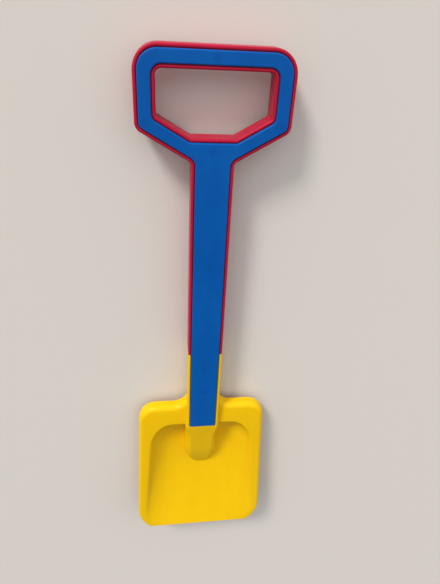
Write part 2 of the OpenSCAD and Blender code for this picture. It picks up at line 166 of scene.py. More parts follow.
def posts(name, places, radius, low_z, high_z):
    """Round posts at the places, to fuse or cut with."""
    bm = bmesh.new()
    for x, y in places:
        place = Matrix.Translation((x, y, (low_z + high_z) / 2))
        bmesh.ops.create_cone(bm, cap_ends=True, segments=POST_SEGMENTS, radius1=radius, radius2=radius,
                              depth=high_z - low_z, matrix=place)
    return as_object(bm, name)


print("cutters reach", round(CUT_PAST / MM), "mm past the faces that they cut")

# %% [markdown]
# ## The outline of the grip
#
# The handle and the cover have one outline: a D-grip with sloping struts above a straight shaft. Half of
# it, from the middle line outwards, is a plain polygon even though the grip has a hole, because the hole
# meets the middle line too. So the half outline is one face. A vertex bevel rounds each corner, and a
# mirror gives the other half. The cover's smaller outline has the same corners, moved in evenly.

# %% Half outline and its corners
GRIP_WIDTH = 112 * MM
GRIP_BAR = 15 * MM
GRIP_SLOPE = math.radians(30)
GRIP_SIDE = 54 * MM
HAND_HEIGHT = 44.5 * MM
GRIP_CORNER_Y = TOP_Y - GRIP_SIDE
HAND_BASE_Y = TOP_Y - GRIP_BAR - HAND_HEIGHT
NECK_Y = GRIP_CORNER_Y - math.tan(GRIP_SLOPE) * (GRIP_WIDTH - SHAFT_WIDTH) / 2
GRIP_TOP_R = 17 * MM
GRIP_LOW_R = 7 * MM
NECK_R = 4 * MM
HAND_TOP_R = 4.5 * MM
HAND_LOW_R = 2 * MM
STRUT_LIFT = math.tan(math.radians(45) - GRIP_SLOPE / 2)


def grip_corners(inset, end_y):
    """Corners of the right half as (x, y, radius), clockwise from the top of the middle line."""
    grip_x = GRIP_WIDTH / 2 - inset
    shaft_x = SHAFT_WIDTH / 2 - inset
    bar = GRIP_BAR - inset
    hand_x = GRIP_WIDTH / 2 - bar
    base_y = HAND_BASE_Y - inset
    strut_y = GRIP_CORNER_Y + bar / math.cos(GRIP_SLOPE)
    base_x = GRIP_WIDTH / 2 - (strut_y - base_y) / math.tan(GRIP_SLOPE)
    return [
        (0, TOP_Y - inset, 0),
        (grip_x, TOP_Y - inset, GRIP_TOP_R - inset),
        (grip_x, GRIP_CORNER_Y + inset * STRUT_LIFT, GRIP_LOW_R - inset),
        (shaft_x, NECK_Y + inset * STRUT_LIFT, NECK_R + inset),
        (shaft_x, end_y, 0),
        (0, end_y, 0),
        (0, base_y, 0),
        (base_x, base_y, HAND_LOW_R + inset),
        (hand_x, GRIP_CORNER_Y + bar * STRUT_LIFT, HAND_LOW_R + inset),
        (hand_x, TOP_Y - bar, HAND_TOP_R + inset),
        (0, TOP_Y - bar, 0),
    ]


print("half outline has", len(grip_corners(0, SPLIT_Y)), "corners")

# %% Round, pull, sink and soften
CORNER_SEGMENTS = 10
# Places that are closer than this count as one
TOUCH = 0.01 * MM
# Shares of a normal along an axis: above the first a face looks along it, below the second across it
MOSTLY = 0.9
HARDLY = 0.1


def rounded_half(bm, corners, z):
    """One face through the corners, with each corner bevelled to its radius, then mirrored across X = 0."""
    points = [bm.verts.new((x, y, z)) for x, y, radius in corners]
    bm.faces.new(points)
    count = len(points)
    reaches = []
    for i, (x, y, radius) in enumerate(corners):
        here = points[i].co
        back = (points[i - 1].co - here).normalized()
        ahead = (points[(i + 1) % count].co - here).normalized()
        reaches.append(radius / math.tan(back.angle(ahead) / 2))
    for point, reach in zip(points, reaches):
        if reach > 0:
            bmesh.ops.bevel(bm, geom=[point], offset=reach, offset_type="OFFSET", affect="VERTICES",
                            segments=CORNER_SEGMENTS, profile=0.5, material=-1)
    geometry = bm.verts[:] + bm.edges[:] + bm.faces[:]
    bmesh.ops.mirror(bm, geom=geometry, axis="X", merge_dist=TOUCH)
    bmesh.ops.recalc_face_normals(bm, faces=bm.faces)
    return bm.faces[:]


def pull(bm, faces, z):
    """Extrudes faces straight to the height z and gives back the faces that arrive there."""
    made = bmesh.ops.extrude_face_region(bm, geom=faces)["geom"]
    for vert in made:
        if isinstance(vert, bmesh.types.BMVert):
            vert.co.z = z
    bmesh.ops.recalc_face_normals(bm, faces=bm.faces)
    return [face for face in made if isinstance(face, bmesh.types.BMFace)]


def sink(bm, faces, z):
    """Pulls faces to the height z and takes away the lid that they leave at their old place."""
    floor = pull(bm, faces, z)
    bmesh.ops.delete(bm, geom=faces, context="FACES")
    bmesh.ops.recalc_face_normals(bm, faces=bm.faces)
    return floor


def facing_up(bm, z):
    """Faces that look up at the height z."""
    return [f for f in bm.faces if f.normal.z > MOSTLY and abs(f.calc_center_median().z - z) < TOUCH]


def edges_at(bm, z, wall_test):
    """Edges at the height z between a level face and a wall face that passes the test."""
    found = []
    for edge in bm.edges:
        level = all(abs(v.co.z - z) < TOUCH for v in edge.verts)
        walls = [f for f in edge.link_faces if abs(f.normal.z) < HARDLY]
        if level and len(edge.link_faces) == 2 and len(walls) == 1 and wall_test(walls[0]):
            found.append(edge)
    return found


def soften(bm, edges, radius, segments):
    """Rounds the edges and says how many there were."""
    bmesh.ops.bevel(bm, geom=edges, offset=radius, offset_type="OFFSET", affect="EDGES",
                    segments=segments, profile=0.5, material=-1, clamp_overlap=True)
    print(len(edges), "edges rounded to", round(radius / MM, 1), "mm")


# %% [markdown]
# ## Screw places
#
# Small screws come from the back: five hold the cover to the handle, two hold handle, blade and cover
# together in the socket. Their heads sit in round recesses, they pass through clear holes, and they end
# in the bores of bosses behind the cover.

# %% Screw places
BAR_MIDDLE = GRIP_BAR / 2
STRUT_BEND_Y = GRIP_CORNER_Y + BAR_MIDDLE * STRUT_LIFT
NECK_SCREW_Y = (HAND_BASE_Y + NECK_Y) / 2
TONGUE_STOP = 12 * MM
TONGUE_END_Y = TIP_Y + BLADE_LENGTH + TONGUE_STOP
TONGUE_LENGTH = SPLIT_Y - TONGUE_END_Y
SOCKET_SCREW_SHARES = (0.3, 0.75)
HANDLE_SCREWS = [
    (0, TOP_Y - BAR_MIDDLE),
    (GRIP_WIDTH / 2 - BAR_MIDDLE, STRUT_BEND_Y),
    (BAR_MIDDLE - GRIP_WIDTH / 2, STRUT_BEND_Y),
    (0, NECK_SCREW_Y),
    (0, (NECK_SCREW_Y + SPLIT_Y) / 2),
]
SOCKET_SCREWS = [(0, SPLIT_Y - share * TONGUE_LENGTH) for share in SOCKET_SCREW_SHARES]
print(len(HANDLE_SCREWS) + len(SOCKET_SCREWS), "screws")

# %% Holes for the screws
RECESS_R = 3.2 * MM
RECESS_DEPTH = 2 * MM
SCREW_WAY_R = 1.7 * MM


def recesses(places):
    """Short posts that cut the round recesses for the screw heads into the back."""
    return posts("recesses", places, RECESS_R, BACK_Z - CUT_PAST, BACK_Z + RECESS_DEPTH)


def screw_ways(places):
    """Thin posts that cut the clear holes for the screws through every wall behind the cover."""
    return posts("screw_ways", places, SCREW_WAY_R, BACK_Z - CUT_PAST, SEAT_Z)


print(f"recesses {2 * RECESS_R / MM:.1f} mm wide, screw holes {2 * SCREW_WAY_R / MM:.1f} mm")

# %% [markdown]
# ## The red handle
#
# The handle is a channel that is open to the front. It could be cut out of a block, but it is quicker to
# do what the mould does: pull the outline back into a solid, inset the front by the width of the rim, and
# sink the middle in two steps, first the ledge for the cover and then the hollow. Then come the bevels: a
# full round on the back, a small one on the outside of the rim and a fine one on its inside. The shaft is
# made a little too long, so that a straight cut leaves both rims whole at its end. Last, booleans add the
# shoulder that closes the end, the hollow tongue that goes into the blade, and the pads and holes for the
# screws.

# %% Sizes of the handle
RIM_WIDTH = 2.4 * MM
LEDGE_WIDTH = 1 * MM
BACK_WALL = 2.4 * MM
BACK_EDGE_R = 2 * MM
RIM_EDGE_R = 1.2 * MM
RIM_INNER_R = 0.8 * MM
END_SPARE = 5 * MM
SHOULDER = 3 * MM
SOCKET_BACK = 4.2 * MM
TONGUE_GAP = 0.25 * MM
TONGUE_WALL = 2.2 * MM
INNER_WIDTH = SHAFT_WIDTH - 2 * RIM_WIDTH
TONGUE_WIDTH = INNER_WIDTH - 2 * TONGUE_GAP
TONGUE_BACK_Z = BACK_Z + SOCKET_BACK + TONGUE_GAP
TONGUE_FLOOR_Z = TONGUE_BACK_Z + TONGUE_WALL
BOSS_R = 3 * MM
PAD_MARGIN = 2 * MM
PAD_Z = BACK_Z + RECESS_DEPTH + BACK_WALL
print("tongue is", round(TONGUE_LENGTH / MM), "mm long and", round(TONGUE_WIDTH / MM, 1), "mm wide")


# %% End of the handle and its pads
def end_cut():
    low_y = SPLIT_Y - 2 * END_SPARE
    return block("end_cut", 2 * SHAFT_WIDTH, low_y, SPLIT_Y, BACK_Z - CUT_PAST, RIM_Z + CUT_PAST)


def shoulder():
    return block("shoulder", INNER_WIDTH, SPLIT_Y, SPLIT_Y + SHOULDER, BACK_Z + BACK_WALL / 2, SEAT_Z)


def tongue():
    return block("tongue", TONGUE_WIDTH, TONGUE_END_Y, SPLIT_Y + SHOULDER / 2, TONGUE_BACK_Z, SEAT_Z)


def tongue_hollow():
    width = TONGUE_WIDTH - 2 * TONGUE_WALL
    low_y = TONGUE_END_Y + TONGUE_WALL
    high_y = SPLIT_Y + SHOULDER + CUT_PAST
    return block("tongue_hollow", width, low_y, high_y, TONGUE_FLOOR_Z, SEAT_Z + CUT_PAST)


def pads():
    return posts("pads", HANDLE_SCREWS, BOSS_R + PAD_MARGIN, BACK_Z + RECESS_DEPTH, PAD_Z)


# %% Handle
OUTER_WALL_Z = BACK_Z + 3 * MM
ROUND_SEGMENTS = 5
EDGE_SEGMENTS = 4
FINE_SEGMENTS = 2


def is_outer_wall(wall):
    """Tells whether a wall reaches down to the back, also where the edge of the back is already round."""
    return min(v.co.z for v in wall.verts) < OUTER_WALL_Z


def is_ledge_wall(wall):
    return min(v.co.z for v in wall.verts) > SEAT_Z - TOUCH


bm = bmesh.new()
outline = rounded_half(bm, grip_corners(0, SPLIT_Y - END_SPARE), RIM_Z)
pull(bm, outline, BACK_Z)
front = facing_up(bm, RIM_Z)
bmesh.ops.inset_region(bm, faces=front, thickness=RIM_WIDTH, use_even_offset=True, use_boundary=True)
seat = sink(bm, front, SEAT_Z)
bmesh.ops.inset_region(bm, faces=seat, thickness=LEDGE_WIDTH, use_even_offset=True, use_boundary=True)
sink(bm, seat, BACK_Z + BACK_WALL)
soften(bm, edges_at(bm, BACK_Z, is_outer_wall), BACK_EDGE_R, ROUND_SEGMENTS)
soften(bm, edges_at(bm, RIM_Z, is_outer_wall), RIM_EDGE_R, EDGE_SEGMENTS)
soften(bm, edges_at(bm, RIM_Z, is_ledge_wall), RIM_INNER_R, FINE_SEGMENTS)
handle = as_object(bm, "red_handle")
combine(handle, [
    ("DIFFERENCE", end_cut()),
    ("UNION", shoulder()),
    ("UNION", tongue()),
    ("UNION", pads()),
    ("DIFFERENCE", tongue_hollow()),
    ("DIFFERENCE", screw_ways(HANDLE_SCREWS + SOCKET_SCREWS)),
    ("DIFFERENCE", recesses(HANDLE_SCREWS)),
])
shade(handle)
take_place(handle, "handle_body")

# %% [markdown]
# ## The blue cover
#
# The cover is the same outline again, smaller by the rim and a gap, and it runs on over the blade. Its
# front edge is rounded all the way round. Behind it stand the bosses that take the screws in their bores.

# %% Cover
COVER_GAP = 0.55 * MM
COVER_EDGE_R = 1 * MM
BORE_R = 1.5 * MM
HANDLE_SCREW_LENGTH = 10 * MM
SOCKET_SCREW_LENGTH = 12 * MM


def is_any_wall(wall):
    return True


def add_bosses(cover, places, end_z, screw_length):
    """Fuses bosses to the cover's back and bores them a little deeper than their screws are long."""
    bore_end_z = BACK_Z + RECESS_DEPTH + screw_length + CUT_PAST
    combine(cover, [
        ("UNION", posts("bosses", places, BOSS_R, end_z, SEAT_Z + COVER_THICK / 2)),
        ("DIFFERENCE", posts("bores", places, BORE_R, BACK_Z, bore_end_z)),
    ])


bm = bmesh.new()
corners = grip_corners(RIM_WIDTH + COVER_GAP, COVER_END_Y + COVER_GAP)
outline = rounded_half(bm, corners, COVER_FACE_Z)
pull(bm, outline, SEAT_Z)
soften(bm, edges_at(bm, COVER_FACE_Z, is_any_wall), COVER_EDGE_R, ROUND_SEGMENTS)
cover = as_object(bm, "blue_cover")
add_bosses(cover, HANDLE_SCREWS, PAD_Z, HANDLE_SCREW_LENGTH)
add_bosses(cover, SOCKET_SCREWS, TONGUE_FLOOR_Z, SOCKET_SCREW_LENGTH)
shade(cover)
take_place(cover, "front_cover")

# %% [markdown]
# ## The sheet of the blade
#
# The scoop is a sheet that thins a little towards the tip: a skirt, a rolled rim, a flat flange, a soft
# wall and a hollow floor that runs out flat at the tip. It could be built from many insets, but its flange
# changes in width and its tip is open. A grid pressed into shape is simpler. One direction of the grid
# follows the edge of the blade, from a corner of the tip to the middle of the top, and the other runs from
# the skirt over the rim down to the floor. A mirror gives the other half.
#
# The edge is a row of stretches: tip corner, side, top corner, top edge and web. Each has a function that
# gives the place at a share of the stretch, as four vectors across the blade: a point on the edge, the
# way in from there, a point on the edge of the scoop, and the way in from that one. Heights are measured
# from the tip.

# %% Sizes of the blade's edge
BLADE_TOP_WIDTH = 130 * MM
BLADE_TIP_WIDTH = 146.5 * MM
BLADE_TOP_R = 18 * MM
TIP_CORNER_WIDTH = 12 * MM
TIP_CORNER_HEIGHT = 28 * MM
TIP_CORNER_FROM = math.radians(35)
SCOOP_RIM = 22 * MM
SCOOP_TOP = BLADE_LENGTH - SCOOP_RIM
SCOOP_RUN = 22 * MM
FLOOR_CORNER_WIDTH = 4 * MM
FLOOR_CORNER_HEIGHT = 15 * MM
SCOOP_CORNER_WIDTH = SCOOP_RUN + FLOOR_CORNER_WIDTH
SCOOP_CORNER_HEIGHT = SCOOP_RUN + FLOOR_CORNER_HEIGHT
FLANGE_WIDTH = 11 * MM
FLANGE_LOW_WIDTH = 7 * MM
FLANGE_TIP_WIDTH = 4 * MM
SIDEWAYS = Vector((-1, 0))
DOWNWARDS = Vector((0, -1))


def mix(a, b, share):
    return a + (b - a) * share


def side_x(height):
    return mix(BLADE_TIP_WIDTH, BLADE_TOP_WIDTH, height / BLADE_LENGTH) / 2


def side_flange(height):
    share = (height - TIP_CORNER_HEIGHT) / (SCOOP_TOP - SCOOP_CORNER_HEIGHT - TIP_CORNER_HEIGHT)
    return mix(FLANGE_LOW_WIDTH, FLANGE_WIDTH, share)


print("blade is", round(2 * side_x(BLADE_LENGTH / 2) / MM), "mm wide at half its length")


# %% Tip corner, side and top corner
def tip_corner(share):
    turn = mix(TIP_CORNER_FROM, math.pi / 2, share)
    reach = TIP_CORNER_WIDTH / (1 - math.sin(TIP_CORNER_FROM))
    rise = TIP_CORNER_HEIGHT / math.cos(TIP_CORNER_FROM)
    x = side_x(TIP_CORNER_HEIGHT) - reach * (1 - math.sin(turn))
    height = TIP_CORNER_HEIGHT - rise * math.cos(turn)
    slant = math.atan2(rise * math.sin(turn), reach * math.cos(turn))
    flange = mix(FLANGE_TIP_WIDTH, FLANGE_LOW_WIDTH, share)
    return Vector((x, height)), SIDEWAYS / math.sin(slant), Vector((x - flange, height)), SIDEWAYS


def side(share):
    outer = mix(TIP_CORNER_HEIGHT, BLADE_LENGTH - BLADE_TOP_R, share)
    inner = mix(TIP_CORNER_HEIGHT, SCOOP_TOP - SCOOP_CORNER_HEIGHT, share)
    inner_x = side_x(inner) - side_flange(inner)
    return Vector((side_x(outer), outer)), SIDEWAYS, Vector((inner_x, inner)), SIDEWAYS


def top_corner(share):
    turn = share * math.pi / 2
    outer, way, inner, scoop_way = side(1)
    across = math.cos(turn) - 1
    along = math.sin(turn)
    inward = Vector((-math.cos(turn), -math.sin(turn)))
    outer = outer + BLADE_TOP_R * Vector((across, along))
    inner = inner + Vector((SCOOP_CORNER_WIDTH * across, SCOOP_CORNER_HEIGHT * along))
    return outer, inward, inner, inward


print("top corner ends", round(top_corner(1)[0].x / MM), "mm beside the middle")

# %% Top edge, webs and the whole edge
WEB_R = 15 * MM
WEB_SINK = 1 * MM
WEB_TURN = math.radians(75)
WEB_LEAN = math.radians(45)
WEB_REACH = 0.9
CORNER_STEPS = 12
SIDE_STEPS = 12
TOP_STEPS = 6
WEB_STEPS = 8


def top_edge(share):
    corner, way, inner, scoop_way = top_corner(1)
    web_x = SHAFT_WIDTH / 2 - WEB_SINK + WEB_R
    x = mix(corner.x, web_x, share)
    inner_x = mix(inner.x, inner.x / 2, share)
    return Vector((x, BLADE_LENGTH)), DOWNWARDS, Vector((inner_x, SCOOP_TOP)), DOWNWARDS


def web(share):
    turn = share * WEB_TURN
    x = SHAFT_WIDTH / 2 - WEB_SINK + WEB_R * (1 - math.sin(turn))
    height = BLADE_LENGTH + WEB_R * (1 - math.cos(turn))
    lean = min(turn, WEB_LEAN)
    inner_x = mix(top_edge(1)[2].x, 0, WEB_REACH * share)
    inward = Vector((-math.sin(lean), -math.cos(lean)))
    return Vector((x, height)), inward, Vector((inner_x, SCOOP_TOP)), DOWNWARDS


def top_middle():
    height = BLADE_LENGTH + WEB_R * (1 - math.cos(WEB_TURN))
    return Vector((0, height)), DOWNWARDS, Vector((0, SCOOP_TOP)), DOWNWARDS


def blade_edge():
    """Places along the right half of the edge, from the tip to the middle of the top."""
    places = [tip_corner(k / CORNER_STEPS) for k in range(CORNER_STEPS + 1)]
    places += [side(k / SIDE_STEPS) for k in range(1, SIDE_STEPS + 1)]
    places += [top_corner(k / CORNER_STEPS) for k in range(1, CORNER_STEPS + 1)]
    places += [top_edge(k / TOP_STEPS) for k in range(1, TOP_STEPS + 1)]
    places += [web(k / WEB_STEPS) for k in range(1, WEB_STEPS + 1)]
    return places + [top_middle()]


edge_places = blade_edge()
print("half of the blade's edge has", len(edge_places), "places")

# %% Depths of the blade
RIM_BACK = 6 * MM
TIP_FORWARD = 3 * MM
SCOOP_DEPTH = 17.5 * MM
HOLLOW_POWER = 4
EDGE_SHARE = 0.1
BLADE_WALL = 2.6 * MM
TIP_WALL = 1.6 * MM
TAPER_HEIGHT = 60 * MM


def within(share):
    return min(1, max(0, share))


def smooth(share):
    return share * share * (3 - 2 * share)


def rim_depth(height):
    return mix(-TIP_FORWARD, RIM_BACK, height / BLADE_LENGTH)


def floor_depth(height):
    return SCOOP_DEPTH * math.sin(math.pi / 2 * min(1, height / SCOOP_TOP))


def hollow(share):
    """Share of the full depth at a share of the way from the scoop's edge to the middle of its floor."""
    return (1 - (1 - share) ** HOLLOW_POWER) * smooth(within(share / EDGE_SHARE))


def wall_thickness(height):
    return mix(TIP_WALL, BLADE_WALL, smooth(within(height / TAPER_HEIGHT)))


print("scoop is", round(floor_depth(SCOOP_TOP) / MM, 1), "mm deep at its top")

# %% Section across the edge
ROLL_R = 5 * MM
TIP_ROLL_R = 2 * MM
SKIRT_DEPTH = 11 * MM
TIP_SKIRT_DEPTH = 4 * MM
WALL_SHARE = 0.39
SPINE_HIGH = 0.85
SPINE_LOW = 0.7
ROLL_STEPS = 6
FLANGE_STEPS = 3
WALL_STEPS = 16
FLOOR_STEPS = 10


def blade_point(place, depth):
    return Vector((place.x, TIP_Y + place.y, RIM_Z - depth))


def section(place):
    """Points from the skirt's back edge over the rim and down the wall to the middle of the floor."""
    outer, inward, scoop, scoop_way = place
    share = min(1, outer.y / BLADE_LENGTH)
    roll = mix(TIP_ROLL_R, ROLL_R, share)
    skirt = mix(TIP_SKIRT_DEPTH, SKIRT_DEPTH, share)
    rim = rim_depth(outer.y)
    points = [blade_point(outer, rim + skirt)]
    for k in range(ROLL_STEPS + 1):
        turn = math.pi / 2 * k / ROLL_STEPS
        spot = outer + inward * roll * (1 - math.cos(turn))
        points.append(blade_point(spot, rim + roll * (1 - math.sin(turn))))
    roll_end = outer + inward * roll
    for k in range(1, FLANGE_STEPS):
        spot = mix(roll_end, scoop, k / FLANGE_STEPS)
        points.append(blade_point(spot, rim_depth(spot.y)))
    for k in range(WALL_STEPS + 1):
        spot = scoop + scoop_way * SCOOP_RUN * k / WALL_STEPS
        depth = floor_depth(spot.y) * hollow(WALL_SHARE * k / WALL_STEPS)
        points.append(blade_point(spot, rim_depth(spot.y) + depth))
    foot = scoop + scoop_way * SCOOP_RUN
    spine = Vector((0, foot.y * mix(SPINE_HIGH, SPINE_LOW, 2 * foot.x / BLADE_TOP_WIDTH)))
    for k in range(1, FLOOR_STEPS + 1):
        share = k / FLOOR_STEPS
        spot = mix(foot, spine, share)
        depth = floor_depth(spot.y) * hollow(mix(WALL_SHARE, 1, share))
        points.append(blade_point(spot, rim_depth(spot.y) + depth))
    return points


print("a section has", len(section(edge_places[0])), "points")

# %% Press and thicken the sheet
GRID_HALF = 0.5
GRID_MERGE = 0.02 * MM


def pressed_grid(sections):
    """A grid with one row per section, pressed onto the sections' points and mirrored across X = 0."""
    along = len(sections) - 1
    across = len(sections[0]) - 1
    bm = bmesh.new()
    bmesh.ops.create_grid(bm, x_segments=along, y_segments=across, size=GRID_HALF)
    for vert in bm.verts:
        row = round((vert.co.x + GRID_HALF) * along)
        column = round((vert.co.y + GRID_HALF) * across)
        vert.co = sections[row][column]
    bmesh.ops.mirror(bm, geom=bm.verts[:] + bm.edges[:] + bm.faces[:], axis="X", merge_dist=GRID_MERGE)
    bmesh.ops.remove_doubles(bm, verts=bm.verts, dist=GRID_MERGE)
    bmesh.ops.recalc_face_normals(bm, faces=bm.faces)
    return bm


def pressed_sheet():
    """The blade's front as a sheet without thickness, with its faces towards the front."""
    bm = pressed_grid([section(place) for place in edge_places])
    up = sum(f.normal.z * f.calc_area() for f in bm.faces)
    if up < 0:
        bmesh.ops.reverse_faces(bm, faces=bm.faces)
    return bm


def thicken(bm):
    """Gives the sheet its wall: a copy moves back along the normals and is joined to it all round."""
    bm.normal_update()
    front = bm.faces[:]
    rims = [e for e in bm.edges if e.is_boundary]
    made = bmesh.ops.duplicate(bm, geom=bm.verts[:] + bm.edges[:] + front)
    copies = [g for g in made["geom"] if isinstance(g, bmesh.types.BMVert)]
    back = [g for g in made["geom"] if isinstance(g, bmesh.types.BMFace)]
    steps = [v.normal * wall_thickness(v.co.y - TIP_Y) for v in copies]
    for vert, step in zip(copies, steps):
        at_tip = abs(vert.co.y - TIP_Y) < TOUCH
        vert.co -= step
        if at_tip:
            vert.co.y = TIP_Y
    bmesh.ops.reverse_faces(bm, faces=back)
    back_rims = [e for f in back for e in f.edges if e.is_boundary]
    bmesh.ops.bridge_loops(bm, edges=rims + list(set(back_rims)))
    bmesh.ops.recalc_face_normals(bm, faces=bm.faces)


bm = pressed_sheet()
thicken(bm)
blade = as_object(bm, "yellow_blade")
print("blade sheet:", len(blade.data.polygons), "faces")

# %% [markdown]
# ## Socket and nose
#
# Above the scoop the blade carries on the red shaft as a socket, with the cover inlaid between two thin
# strips. Below the end of the cover it runs out in a soft ridge, the nose, that sinks into the floor of
# the scoop. The nose is a loft: a section with a flat face, round shoulders and straight walls, repeated
# at heights along the shaft, while its end shrinks like the end of an ellipse. Booleans fuse nose and
# socket with the sheet and hollow the nose from behind, as a mould would.

# %% Sizes and depths of the nose
NOSE_LENGTH = 74 * MM
NOSE_FOOT_WIDTH = 36 * MM
NOSE_FACE_WIDTH = 21 * MM
NOSE_ROUND_LENGTH = 33 * MM
NOSE_DROP = 10 * MM
NOSE_FLARE = 22 * MM
NOSE_SINK = 1.2 * MM
COVER_END = COVER_END_Y - TIP_Y
NOSE_END = COVER_END - NOSE_LENGTH
FLARE = SCOOP_TOP - NOSE_FLARE
SOCKET_LOW = (SCOOP_TOP + BLADE_LENGTH) / 2


def scoop_depth(height):
    """Depth of the scoop's surface beside the nose."""
    share = within(WALL_SHARE * (SCOOP_TOP - height) / SCOOP_RUN)
    return rim_depth(height) + floor_depth(height) * hollow(share)


def nose_back_depth(height, extra, high_depth):
    """Depth of the nose's back, which follows the floor and then runs up to the socket's back."""
    low = min(height, FLARE)
    rise = within((height - FLARE) / (SOCKET_LOW - FLARE))
    return mix(rim_depth(low) + floor_depth(low) + extra, high_depth, rise)


print("nose runs from", round(NOSE_END / MM), "to", round(BLADE_LENGTH / MM), "mm above the tip")

# %% Cuts and sections of the nose
NOSE_STEPS = 8
STRIP_EDGE_R = 0.9 * MM


def nose_cuts(inset, first_turn, high):
    """Heights at which the nose is cut across, each with the share of its full size there."""
    end = NOSE_END + inset
    cuts = []
    for k in range(NOSE_STEPS + 1):
        turn = mix(first_turn, math.pi / 2, k / NOSE_STEPS)
        cuts.append((end + NOSE_ROUND_LENGTH * (1 - math.cos(turn)), math.sin(turn)))
    cuts += [(mix(cuts[-1][0], FLARE, k / NOSE_STEPS), 1) for k in range(1, NOSE_STEPS + 1)]
    cuts += [(mix(FLARE, SCOOP_TOP, k / NOSE_STEPS), 1) for k in range(1, NOSE_STEPS + 1)]
    return cuts + [(SOCKET_LOW, 1), (high, 1)]


def nose_section(height, size, inset, back_depth):
    """Half section as (x, depth), from the middle of the face over shoulder and wall to that of the back."""
    fade = smooth(within((height - SCOOP_TOP) / (BLADE_LENGTH - SCOOP_TOP)))
    grow = smooth(within((height - FLARE) / NOSE_FLARE))
    foot_x = size * mix(NOSE_FOOT_WIDTH, SHAFT_WIDTH, fade) / 2 - inset
    face_x = size * mix(NOSE_FACE_WIDTH, SHAFT_WIDTH - 2 * STRIP_EDGE_R, grow) / 2 - inset
    slope_depth = NOSE_DROP / NOSE_LENGTH * max(0, COVER_END - RIM_WIDTH - height)
    foot_depth = scoop_depth(height) + NOSE_SINK
    face_depth = mix(foot_depth, slope_depth, size) + inset
    points = [(0, face_depth)]
    for k in range(NOSE_STEPS + 1):
        turn = math.pi / 2 * k / NOSE_STEPS
        points.append((mix(face_x, foot_x, math.sin(turn)), mix(foot_depth, face_depth, math.cos(turn))))
    return points + [(foot_x, back_depth), (0, back_depth)]


print("widest cut of the nose:", round(2 * nose_section(FLARE, 1, 0, HANDLE_DEPTH)[-2][0] / MM), "mm")

# %% Nose and its hollow
NOSE_PAD = 1.2 * MM
NOSE_FIRST_TURN = math.radians(4)
HOLLOW_FIRST_TURN = math.radians(20)
BACK_CLEAR = 0.1 * MM
GAP_BELOW_TONGUE = 3 * MM
TONGUE_BED_Y = TONGUE_END_Y - GAP_BELOW_TONGUE


def nose_block(name, inset, first_turn, high, extra, high_depth):
    """Closed solid through the sections of the nose, moved inwards by the inset."""
    sections = []
    for height, size in nose_cuts(inset, first_turn, high):
        back_depth = nose_back_depth(height, extra, high_depth)
        half = nose_section(height, size, inset, back_depth)
        sections.append([Vector((x, TIP_Y + height, RIM_Z - depth)) for x, depth in half])
    bm = pressed_grid(sections)
    bmesh.ops.holes_fill(bm, edges=[e for e in bm.edges if e.is_boundary])
    bmesh.ops.recalc_face_normals(bm, faces=bm.faces)
    return as_object(bm, name)


def nose():
    extra = BLADE_WALL + NOSE_PAD
    return nose_block("nose", 0, NOSE_FIRST_TURN, BLADE_LENGTH, extra, HANDLE_DEPTH - BACK_CLEAR)


def nose_hollow():
    high = TONGUE_BED_Y - TIP_Y - BLADE_WALL
    depth = HANDLE_DEPTH + CUT_PAST
    return nose_block("nose_hollow", BLADE_WALL, HOLLOW_FIRST_TURN, high, SCOOP_DEPTH, depth)


print("hollow of the nose ends", round((TONGUE_BED_Y - BLADE_WALL - TIP_Y) / MM, 1), "mm above the tip")

# %% Socket and its beds
BED_CHAMFER = 0.5 * MM


def is_strip_wall(wall):
    return is_outer_wall(wall) and abs(wall.normal.x) > MOSTLY


def socket():
    half = SHAFT_WIDTH / 2
    corners = [(0, SPLIT_Y, 0), (half, SPLIT_Y, 0), (half, COVER_END_Y, 0), (0, COVER_END_Y, 0)]
    bm = bmesh.new()
    outline = rounded_half(bm, corners, RIM_Z)
    pull(bm, outline, BACK_Z)
    soften(bm, edges_at(bm, BACK_Z, is_strip_wall), BACK_EDGE_R, ROUND_SEGMENTS)
    soften(bm, edges_at(bm, RIM_Z, is_strip_wall), STRIP_EDGE_R, EDGE_SEGMENTS)
    return as_object(bm, "socket")


def cover_bed():
    """Cutter for the bed of the cover, open towards the handle, that widens above the chamfer's foot."""
    top_y = SPLIT_Y + CUT_PAST
    wall_z = RIM_Z - BED_CHAMFER
    bm = new_block(INNER_WIDTH, COVER_END_Y, top_y, SEAT_Z, wall_z)
    bmesh.ops.recalc_face_normals(bm, faces=bm.faces)
    mouth = sink(bm, facing_up(bm, wall_z), RIM_Z + BED_CHAMFER)
    for vert in mouth[0].verts:
        vert.co.x += math.copysign(2 * BED_CHAMFER, vert.co.x)
        if vert.co.y < top_y - CUT_PAST:
            vert.co.y -= 2 * BED_CHAMFER
    return as_object(bm, "cover_bed")


def tongue_bed():
    return block("tongue_bed", INNER_WIDTH, TONGUE_BED_Y, SPLIT_Y + CUT_PAST, BACK_Z + SOCKET_BACK, RIM_Z)


combine(blade, [
    ("UNION", nose()),
    ("UNION", socket()),
    ("DIFFERENCE", nose_hollow()),
    ("DIFFERENCE", cover_bed()),
    ("DIFFERENCE", tongue_bed()),
    ("DIFFERENCE", screw_ways(SOCKET_SCREWS)),
    ("DIFFERENCE", recesses(SOCKET_SCREWS)),
])
shade(blade)
take_place(blade, "blade")

# %% [markdown]
# ## Moulded plastic
#
# Injection-moulded plastic is not one flat colour. The melt leaves faint long flow streaks, the face of
# the mould gives a fine grain, and use leaves soft rubbed patches. An image could hold these, but it
# would need an unwrapped mesh. One node group makes them instead as masks and a height from Object
# coordinates, and each plastic uses it. Nodes are made by a small helper that links an input to a socket
# or sets it to a plain value.

# %% Node helpers
# The mix node has sockets for several kinds of data, and these hold the colours
MIX_FIRST = 6
MIX_SECOND = 7
MIX_RESULT = 2


